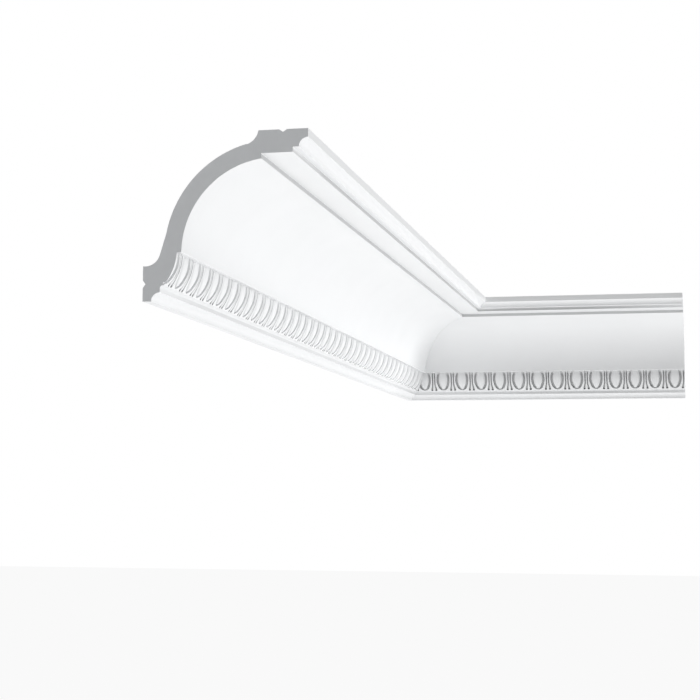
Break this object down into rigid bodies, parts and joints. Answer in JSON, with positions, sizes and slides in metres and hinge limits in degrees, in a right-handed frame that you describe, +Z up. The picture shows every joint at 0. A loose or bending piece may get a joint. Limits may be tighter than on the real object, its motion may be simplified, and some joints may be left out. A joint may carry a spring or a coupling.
{
  "type": "cornice moulding",
  "caption": "Inside corner of a coved ceiling cornice, mitred, with an egg-and-dart band above its lower border, stepped fillets at the ceiling edge and a hollow back.",
  "frame": {"origin": "the point where the left wall, the back wall and the moulding's lower edge meet: the inner end of the left wall face's lower edge", "axes": "+Z up towards the ceiling, the left wall is the plane x = 0 with the room at +X, the back wall is the plane y = 0 with the room at -Y; the left length runs towards -Y and the right length towards +X"},
  "size_m": [0.36, 1.03, 0.12],
  "materials": {
    "primed_foam": "white primed closed-cell foam, satin on the moulded faces and pale grey where it is sawn"
  },
  "bodies": {
    "root": {"left_length": "primed_foam", "right_length": "primed_foam"}
  },
  "joints": []
}
